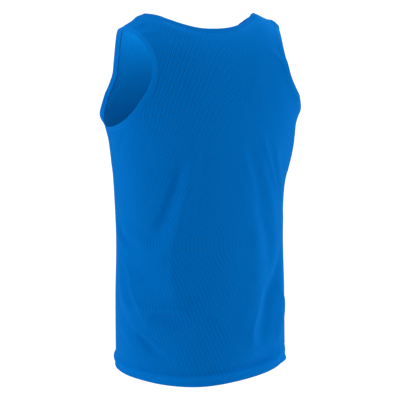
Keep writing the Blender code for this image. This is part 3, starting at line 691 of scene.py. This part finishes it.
def micromeshGroup():
    # staggered eyelets with soft streaks, in the cloth's own flat coordinates
    tree, inside, outside = newGroup(
        "micromesh",
        [("Cloth", "NodeSocketVector", None), ("Across", "NodeSocketFloat", 0.005),
         ("Up", "NodeSocketFloat", 0.0092), ("Eyelet Edge", "NodeSocketFloat", 0.7),
         ("Streak Pitch", "NodeSocketFloat", 0.0076), ("Streak Wobble", "NodeSocketFloat", 0.0005)],
        [("Eyelet", "NodeSocketFloat"), ("Streak", "NodeSocketFloat"), ("Height", "NodeSocketFloat")],
    )
    u, v = split(tree, inside.outputs["Cloth"])
    a = mathNode(tree, "DIVIDE", u, inside.outputs["Across"])
    b = mathNode(tree, "DIVIDE", v, inside.outputs["Up"])
    waves = []
    for operation in ("ADD", "SUBTRACT"):
        phase = mathNode(tree, "MULTIPLY", mathNode(tree, operation, a, b), 2 * math.pi)
        waves.append(mathNode(tree, "COSINE", phase))
    lattice = mathNode(tree, "ADD", *waves)
    rounds = mapRange(tree, lattice, inside.outputs["Eyelet Edge"], meshLook["eyeletFull"], 0.0, 1.0)
    # the streaks lean outwards above the waist, most at the shoulder blades, and inwards below it
    waist = mathNode(tree, "MULTIPLY", mapRange(tree, v, *meshLook["waistLean"]),
                     mathNode(tree, "ADD", v, meshLook["waistDepth"]))
    blades = mathNode(tree, "MULTIPLY", mapRange(tree, v, *meshLook["bladeLean"]),
                      mathNode(tree, "ADD", v, meshLook["bladeDepth"]))
    bend = mathNode(tree, "ADD", waist, blades)
    zigzag = mathNode(tree, "SINE", mathNode(tree, "MULTIPLY", b, 2 * math.pi))
    zigzag = mathNode(tree, "MULTIPLY", zigzag, inside.outputs["Streak Wobble"])
    across = mathNode(tree, "ADD", mathNode(tree, "ADD", u, bend), zigzag)
    line = mathNode(tree, "DIVIDE", across, inside.outputs["Streak Pitch"])
    wave = mathNode(tree, "COSINE", mathNode(tree, "MULTIPLY", line, 2 * math.pi))
    fineWave = mathNode(tree, "COSINE", mathNode(tree, "MULTIPLY", line, 4 * math.pi))
    cloud = noise(tree, inside.outputs["Cloth"], meshLook["cloudScale"])
    strength = mapRange(tree, cloud, *meshLook["streakClouds"])
    broken = mathNode(tree, "MULTIPLY", mapRange(tree, lattice, *meshLook["fineLineBreaks"]),
                      mapRange(tree, fineWave, *meshLook["fineLines"]))
    lines = mathNode(tree, "MAXIMUM", mapRange(tree, wave, *meshLook["mainLines"]), broken)
    streak = mathNode(tree, "MULTIPLY", lines, strength)
    patch = mapRange(tree, cloud, *meshLook["eyeletClouds"])
    # painted light: the pattern darkens the cloth most near the spine, where the least light falls, and
    # less at the sides and straps, where the side and top lights fall
    spine = mathNode(tree, "SUBTRACT", u, mapRange(tree, v, *meshLook["spineShift"]))
    patternInShade = mathNode(tree, "MULTIPLY", mapRange(tree, spine, *meshLook["spineInShade"]),
                    mapRange(tree, u, *meshLook["sideInLight"]))
    patternInShade = mathNode(tree, "MULTIPLY", patternInShade, mapRange(tree, v, *meshLook["strapInLight"]))
    streak = mathNode(tree, "MULTIPLY", streak, patternInShade)
    eyelet = mathNode(tree, "MULTIPLY", mathNode(tree, "MULTIPLY", rounds, patch),
                      mapRange(tree, patternInShade, *meshLook["eyeletsInLight"]))
    grain = noise(tree, inside.outputs["Cloth"], meshLook["grainScale"])
    grainHeight = mathNode(tree, "MULTIPLY", grain, meshLook["grainHeight"])
    height = mathNode(tree, "SUBTRACT", grainHeight, eyelet)
    tree.links.new(eyelet, outside.inputs["Eyelet"])
    tree.links.new(streak, outside.inputs["Streak"])
    tree.links.new(height, outside.inputs["Height"])
    return tree


ribLook = {"grainScale": 1200.0, "grainHeight": 0.5}


def plainKnitGroup():
    # fine ribs of a smooth jersey strip
    tree, inside, outside = newGroup(
        "plainKnit",
        [("Cloth", "NodeSocketVector", None), ("Rib Pitch", "NodeSocketFloat", 0.0011)],
        [("Rib", "NodeSocketFloat"), ("Height", "NodeSocketFloat")],
    )
    u, _ = split(tree, inside.outputs["Cloth"])
    phase = mathNode(tree, "DIVIDE", u, inside.outputs["Rib Pitch"])
    wave = mathNode(tree, "COSINE", mathNode(tree, "MULTIPLY", phase, 2 * math.pi))
    rib = mathNode(tree, "MULTIPLY_ADD", wave, 0.5, 0.5)
    grain = noise(tree, inside.outputs["Cloth"], ribLook["grainScale"])
    height = mathNode(tree, "ADD", rib, mathNode(tree, "MULTIPLY", grain, ribLook["grainHeight"]))
    tree.links.new(rib, outside.inputs["Rib"])
    tree.links.new(height, outside.inputs["Height"])
    return tree


stitchEnds = (-0.8, -0.3, 0.0, 1.0)    # ramp between two stitches


def stitchGroup():
    # one row of stitches; Away is the distance from the row
    tree, inside, outside = newGroup(
        "stitchRow",
        [("Along", "NodeSocketFloat", 0.0), ("Away", "NodeSocketFloat", 0.01),
         ("Pitch", "NodeSocketFloat", 0.0028), ("Thickness", "NodeSocketFloat", 0.0007)],
        [("Stitch", "NodeSocketFloat")],
    )
    phase = mathNode(tree, "DIVIDE", inside.outputs["Along"], inside.outputs["Pitch"])
    wave = mathNode(tree, "COSINE", mathNode(tree, "MULTIPLY", phase, 2 * math.pi))
    edge = mathNode(tree, "MULTIPLY", inside.outputs["Thickness"], 0.5)
    row = mapRange(tree, mathNode(tree, "ABSOLUTE", inside.outputs["Away"]),
                   mathNode(tree, "MULTIPLY", edge, 0.5), edge, 1.0, 0.0)
    stitch = mathNode(tree, "MULTIPLY", row, mapRange(tree, wave, *stitchEnds))
    tree.links.new(stitch, outside.inputs["Stitch"])
    return tree


dyeClouds = {"scale": 14.0, "detail": 3.0, "ramp": (0.35, 0.65, 0.0, 1.0)}


def dyeAndPaintedLightGroup():
    # slow unevenness of the dye, with a darker and a lighter blue for the pattern and the thread, and for
    # painted highlights and shade
    tree, inside, outside = newGroup(
        "dyeAndPaintedLight",
        [("Base", "NodeSocketColor", (0, 0.14, 0.52, 1)), ("Deep", "NodeSocketColor", (0, 0.07, 0.3, 1)),
         ("Pale", "NodeSocketColor", (0, 0.16, 0.56, 1)), ("Deepen", "NodeSocketFloat", 0.0),
         ("Lighten", "NodeSocketFloat", 0.0), ("Unevenness", "NodeSocketFloat", 0.1)],
        [("Color", "NodeSocketColor")],
    )
    place = tree.nodes.new("ShaderNodeTexCoord")
    cloud = noise(tree, place.outputs["Object"], dyeClouds["scale"], dyeClouds["detail"])
    pale = mixColour(tree, inside.outputs["Lighten"], inside.outputs["Base"], inside.outputs["Pale"])
    deep = mixColour(tree, inside.outputs["Deepen"], pale, inside.outputs["Deep"])
    amount = mathNode(tree, "MULTIPLY", mapRange(tree, cloud, *dyeClouds["ramp"]),
                      inside.outputs["Unevenness"])
    tree.links.new(mixColour(tree, amount, deep, inside.outputs["Deep"]), outside.inputs["Color"])
    return tree


def placeGroup(tree, group, **values):
    node = tree.nodes.new("ShaderNodeGroup")
    node.node_tree = group
    for label, value in values.items():
        feed(tree, node.inputs[label.replace("_", " ")], value)
    return node


fibre = {
    "specular": 0.0,
    "sheenRoughness": 0.5,
    "sheenTint": (0.11, 0.38, 0.70, 1.0),
    "bumpStrength": 0.6,
}


def startMaterial(name, roughness, sheen):
    material = bpy.data.materials.new(name)
    material.use_nodes = True
    tree = material.node_tree
    shader = tree.nodes["Principled BSDF"]
    shader.inputs["Roughness"].default_value = roughness
    shader.inputs["Specular IOR Level"].default_value = fibre["specular"]
    shader.inputs["Sheen Weight"].default_value = sheen
    shader.inputs["Sheen Roughness"].default_value = fibre["sheenRoughness"]
    shader.inputs["Sheen Tint"].default_value = fibre["sheenTint"]
    cloth = tree.nodes.new("ShaderNodeUVMap")
    cloth.uv_map = "cloth"
    return material, tree, shader, cloth.outputs["UV"]


def addBump(tree, shader, height, distance):
    bump = tree.nodes.new("ShaderNodeBump")
    bump.inputs["Distance"].default_value = distance
    bump.inputs["Strength"].default_value = fibre["bumpStrength"]
    tree.links.new(height, bump.inputs["Height"])
    tree.links.new(bump.outputs["Normal"], shader.inputs["Normal"])


def stitchRows(tree, stitches, u, v, places):
    rows = [placeGroup(tree, stitches, Along=u, Away=mathNode(tree, "SUBTRACT", v, place))
            for place in places]
    return mathNode(tree, "ADD", *[row.outputs["Stitch"] for row in rows])


# for the lines of the hem, heights are counted from it
knit = {
    "base": (0.0, 0.158, 0.554, 1.0),
    # a darker, less blue copy of the cloth for the inside faces: painted shade
    "shadedReverseBase": (0.0, 0.131, 0.395, 1.0),
    "deep": (0.0, 0.060, 0.270, 1.0),
    "pale": (0.0, 0.170, 0.605, 1.0),
    "bandTop": (0.018, 0.023),
    "bandPattern": 0.25,    # share of the pattern that shows on the band
    "bandPaleTop": (0.019, 0.021),
    "bandPaleness": 0.25,
    # heights of the painted highlight on the hem's roll
    "rollHighlightEdges": [(0.0130, 0.0150), (0.0205, 0.0220)],
    "needleRows": (0.0140, 0.0208),
    "threadPaleness": 0.5,
    "threadHeight": 1.6,
    "eyeletDarkness": 0.50,
    "streakDarkness": 0.62,
    "across": 0.0050,
    "up": 0.0092,
    "bump": 0.0004,
    "unevenness": 0.02,
    "roughness": 0.85,
    "sheen": 0.12,
}


def micromeshMaterial(name, base, mesh, stitches, dyeAndPaintedLight):
    material, tree, shader, cloth = startMaterial(name, knit["roughness"], knit["sheen"])
    pattern = placeGroup(tree, mesh, Cloth=cloth, Across=knit["across"], Up=knit["up"])
    u, v = split(tree, cloth)

    def aboveHem(heights, low, high):
        return mapRange(tree, v, body["hemZ"] + heights[0], body["hemZ"] + heights[1], low, high)

    # the hem band is two layers, so its eyelets hardly show
    overBand = aboveHem(knit["bandTop"], knit["bandPattern"], 1.0)
    holes, streaks = (
        mathNode(tree, "MULTIPLY", mathNode(tree, "MULTIPLY", pattern.outputs[label], overBand), darkness)
        for label, darkness in (("Eyelet", knit["eyeletDarkness"]), ("Streak", knit["streakDarkness"])))
    deepen = mathNode(tree, "ADD", holes, streaks)
    # a pale line between the two needle rows: a painted highlight on the soft roll of the hem's sewn edge
    start, end = (aboveHem(heights, 0.0, 1.0) for heights in knit["rollHighlightEdges"])
    rollHighlight = mathNode(tree, "SUBTRACT", start, end)
    band = aboveHem(knit["bandPaleTop"], knit["bandPaleness"], 0.0)
    lighten = mathNode(tree, "MAXIMUM", rollHighlight, band)
    thread = stitchRows(tree, stitches, u, v, [body["hemZ"] + up for up in knit["needleRows"]])
    paleThread = mathNode(tree, "MULTIPLY", thread, knit["threadPaleness"])
    lighten = mathNode(tree, "MAXIMUM", lighten, paleThread)
    height = mathNode(tree, "MULTIPLY_ADD", thread, knit["threadHeight"], pattern.outputs["Height"])
    colour = placeGroup(tree, dyeAndPaintedLight, Base=base, Deep=knit["deep"], Pale=knit["pale"],
                        Deepen=deepen, Lighten=lighten, Unevenness=knit["unevenness"])
    tree.links.new(colour.outputs["Color"], shader.inputs["Base Color"])
    addBump(tree, shader, height, knit["bump"])
    return material


strip = {
    # the armhole strips are painted in a paler, lit blue: painted light; the neck strip's blue is near
    # the cloth's own
    "base": (0.0, 0.171, 0.610, 1.0),
    "neckBase": (0.0, 0.150, 0.545, 1.0),
    "deep": (0.0, 0.050, 0.200, 1.0),
    "pale": (0.0, 0.182, 0.610, 1.0),    # its reverse, painted paler as if lit through, and its thread
    "ribDarkness": 0.07,
    "seamShadeDarkness": 0.90,
    # across the strip: 0.002 at the sewn edge, and negative on the reverse
    "stitchedAt": (0.0034, -0.0052),
    "seamShade": (-0.0037, -0.0030),
    "reverseFrom": 0.0002,
    "threadPaleness": 0.5,
    "threadHeight": 2.5,
    "ribPitch": 0.0011,
    "bump": 0.00012,
    "unevenness": 0.05,
    "roughness": 0.75,
    "sheen": 0.15,
}


def bindingMaterial(name, base, ribs, stitches, dyeAndPaintedLight):
    material, tree, shader, cloth = startMaterial(name, strip["roughness"], strip["sheen"])
    pattern = placeGroup(tree, ribs, Cloth=cloth, Rib_Pitch=strip["ribPitch"])
    between = mathNode(tree, "SUBTRACT", 1.0, pattern.outputs["Rib"])
    ribShade = mathNode(tree, "MULTIPLY", between, strip["ribDarkness"])
    u, v = split(tree, cloth)
    reverse = mapRange(tree, v, -strip["reverseFrom"], strip["reverseFrom"], 1.0, 0.0)
    # painted shade where the sewn edge of the reverse meets the panel
    below = mapRange(tree, v, *strip["seamShade"], 0.0, strip["seamShadeDarkness"])
    deepen = mathNode(tree, "ADD", ribShade, mathNode(tree, "MULTIPLY", below, reverse))
    thread = stitchRows(tree, stitches, u, v, strip["stitchedAt"])
    paleThread = mathNode(tree, "MULTIPLY", thread, strip["threadPaleness"])
    # painted light: the reverse is paler as if lit through; the thread is paler itself
    lighten = mathNode(tree, "MAXIMUM", reverse, paleThread)
    height = mathNode(tree, "MULTIPLY_ADD", thread, strip["threadHeight"], pattern.outputs["Height"])
    colour = placeGroup(tree, dyeAndPaintedLight, Base=base, Deep=strip["deep"], Pale=strip["pale"],
                        Deepen=deepen, Lighten=lighten, Unevenness=strip["unevenness"])
    tree.links.new(colour.outputs["Color"], shader.inputs["Base Color"])
    addBump(tree, shader, height, strip["bump"])
    return material


meshPattern, ribPattern, stitches, dyeAndPaintedLight = micromeshGroup(), plainKnitGroup(), stitchGroup(), dyeAndPaintedLightGroup()
print("materials made")

# every piece stands in for the solid of its own name
# the inside faces get the darker copy of the cloth, a painted shade for the garment's inside
reverse = micromeshMaterial("shadedMicromeshReverse", knit["shadedReverseBase"], meshPattern, stitches, dyeAndPaintedLight)
backPanel, backPoints, backFacing, index = buildPanel(
    "back", "backPanel", "back_panel",
    [micromeshMaterial("backMicromesh", knit["base"], meshPattern, stitches, dyeAndPaintedLight), reverse])
frontPanel, frontPoints, frontFacing, _ = buildPanel(
    "front", "frontPanel", "front_panel",
    [micromeshMaterial("frontMicromesh", knit["base"], meshPattern, stitches, dyeAndPaintedLight), reverse])
print("panels made")

# the armhole strips take the paler, lit blue: painted light
for hand, name, node in ((1, "leftArmholeBinding", "left_armhole_binding"),
                         (-1, "rightArmholeBinding", "right_armhole_binding")):
    run = armholeRun(index, hand)
    edge = joinedLoop(backPoints[run], frontPoints[run])
    normals = joinedLoop(backFacing[run], frontFacing[run])
    buildBinding(
        name, node, edge, normals, armholeFlare(hand), np.array([0, 0, -1.0]),
        bindingMaterial(name + "Knit", strip["base"], ribPattern, stitches, dyeAndPaintedLight))


def neckSide(values, index):
    left, right = neckRun(index, 1), neckRun(index, -1)
    return np.concatenate([values[right[::-1]], values[left[1:]]])


edge = joinedLoop(neckSide(backPoints, index), neckSide(frontPoints, index))
normals = joinedLoop(neckSide(backFacing, index), neckSide(frontFacing, index))
neckBinding = buildBinding(
    "neckBinding", "neck_binding", edge, normals, neckFlare(),
    np.array([math.copysign(1, edge[0, 0]), 0, 0]),
    bindingMaterial("neckBindingKnit", strip["neckBase"], ribPattern, stitches, dyeAndPaintedLight))
print("bindings made")

# a plain pale studio
studio = {
    "worldStrength": 0.73,
    "whiteSeen": 1.15,
    "floorZ": -1.55,
    "floorSize": 600,
    "floorGrey": 0.80,
    # power, and degrees towards the camera from square to the view
    "leftLight": (22.9, 19.0),
    "rightLight": (31.5, -14.0),
    "sideDistance": 2.6,
    "sideDrop": 0.15,
    "topLight": 40.0,
    "topDistance": 2.6,
    "topLean": 30.0,        # degrees beyond the garment
    "lightSize": 2.2,
    "hollowLight": 0.275,    # a small lamp inside, aimed at the chest
    "hollowPlace": (0.040, 0.045, -0.040),
    "hollowAim": (0.12, -0.10, -0.015),
    "hollowSize": 0.04,
    "aim": (0, 0, -0.35),    # for the other lights
}
viewAzimuth = math.radians(155.7332)


def seenOrLit(tree, seen, lit):
    # what the camera sees, and what lights the cloth
    path = tree.nodes.new("ShaderNodeLightPath")
    mix = tree.nodes.new("ShaderNodeMixShader")
    tree.links.new(path.outputs["Is Camera Ray"], mix.inputs[0])
    tree.links.new(lit, mix.inputs[1])
    tree.links.new(seen, mix.inputs[2])
    return mix.outputs[0]


world = bpy.data.worlds.new("studioWorld")
bpy.context.scene.world = world
world.use_nodes = True
tree = world.node_tree
lit = tree.nodes["Background"]
lit.inputs["Color"].default_value = (1, 1, 1, 1)
lit.inputs["Strength"].default_value = studio["worldStrength"]
seen = tree.nodes.new("ShaderNodeBackground")
seen.inputs["Strength"].default_value = studio["whiteSeen"]
mixed = seenOrLit(tree, seen.outputs[0], lit.outputs[0])
tree.links.new(mixed, tree.nodes["World Output"].inputs["Surface"])

bpy.ops.mesh.primitive_plane_add(size=studio["floorSize"], location=(0, 0, studio["floorZ"]))
floor = bpy.context.object
floor.name = "floor"
floorMaterial = bpy.data.materials.new("paleFloor")
floorMaterial.use_nodes = True
tree = floorMaterial.node_tree
shader = tree.nodes["Principled BSDF"]
shader.inputs["Base Color"].default_value = (studio["floorGrey"],) * 3 + (1,)
shader.inputs["Roughness"].default_value = 1.0
glow = tree.nodes.new("ShaderNodeEmission")
glow.inputs["Strength"].default_value = studio["whiteSeen"]
mixed = seenOrLit(tree, glow.outputs[0], shader.outputs[0])
tree.links.new(mixed, tree.nodes["Material Output"].inputs["Surface"])
floor.data.materials.append(floorMaterial)


def addLight(name, place, power, size, aim):
    data = bpy.data.lights.new(name, "AREA")
    data.energy = power
    data.shape = "DISK"
    data.size = size
    light = bpy.data.objects.new(name, data)
    light.location = place
    way = np.array(aim) - np.array(place)
    light.rotation_euler = (math.acos(-way[2] / np.linalg.norm(way)), 0, math.atan2(-way[0], way[1]))
    light.visible_camera = False
    bpy.context.scene.collection.objects.link(light)


imageRight = np.array([math.cos(viewAzimuth), math.sin(viewAzimuth), 0])
ahead = np.array([-math.sin(viewAzimuth), math.cos(viewAzimuth), 0])
for name, way, setting in (("leftSoftbox", -1, "leftLight"), ("rightSoftbox", 1, "rightLight")):
    power, degrees = studio[setting]
    turn = math.radians(degrees)
    place = studio["sideDistance"] * (way * math.cos(turn) * imageRight - math.sin(turn) * ahead)
    place = place - np.array([0, 0, studio["sideDrop"]])
    addLight(name, tuple(place), power, studio["lightSize"], studio["aim"])
lean = math.radians(studio["topLean"])
place = studio["topDistance"] * (ahead * math.sin(lean) + np.array([0, 0, math.cos(lean)]))
addLight("topSoftbox", tuple(place), studio["topLight"], studio["lightSize"], studio["aim"])
addLight("hollowLight", studio["hollowPlace"], studio["hollowLight"], studio["hollowSize"],
         studio["hollowAim"])

cameraSetup = {
    "distance": 1.9274,
    "height": 0.0575,
    "pitch": math.radians(12.303),
    "sensor": 36,
    "lens": 87.29,
    "shiftX": -0.00255,
    "clipEnd": 1000,
}
camera = bpy.data.cameras.new("camera")
cameraObject = bpy.data.objects.new("camera", camera)
bpy.context.scene.collection.objects.link(cameraObject)
bpy.context.scene.camera = cameraObject
cameraObject.location = (math.sin(viewAzimuth) * cameraSetup["distance"],
                         -math.cos(viewAzimuth) * cameraSetup["distance"], cameraSetup["height"])
cameraObject.rotation_euler = (math.pi / 2 - cameraSetup["pitch"], 0, viewAzimuth)
camera.sensor_width = cameraSetup["sensor"]
camera.lens = cameraSetup["lens"]
camera.shift_x = cameraSetup["shiftX"]
camera.clip_end = cameraSetup["clipEnd"]
bpy.context.scene.view_settings.view_transform = "Standard"
print("studio made")
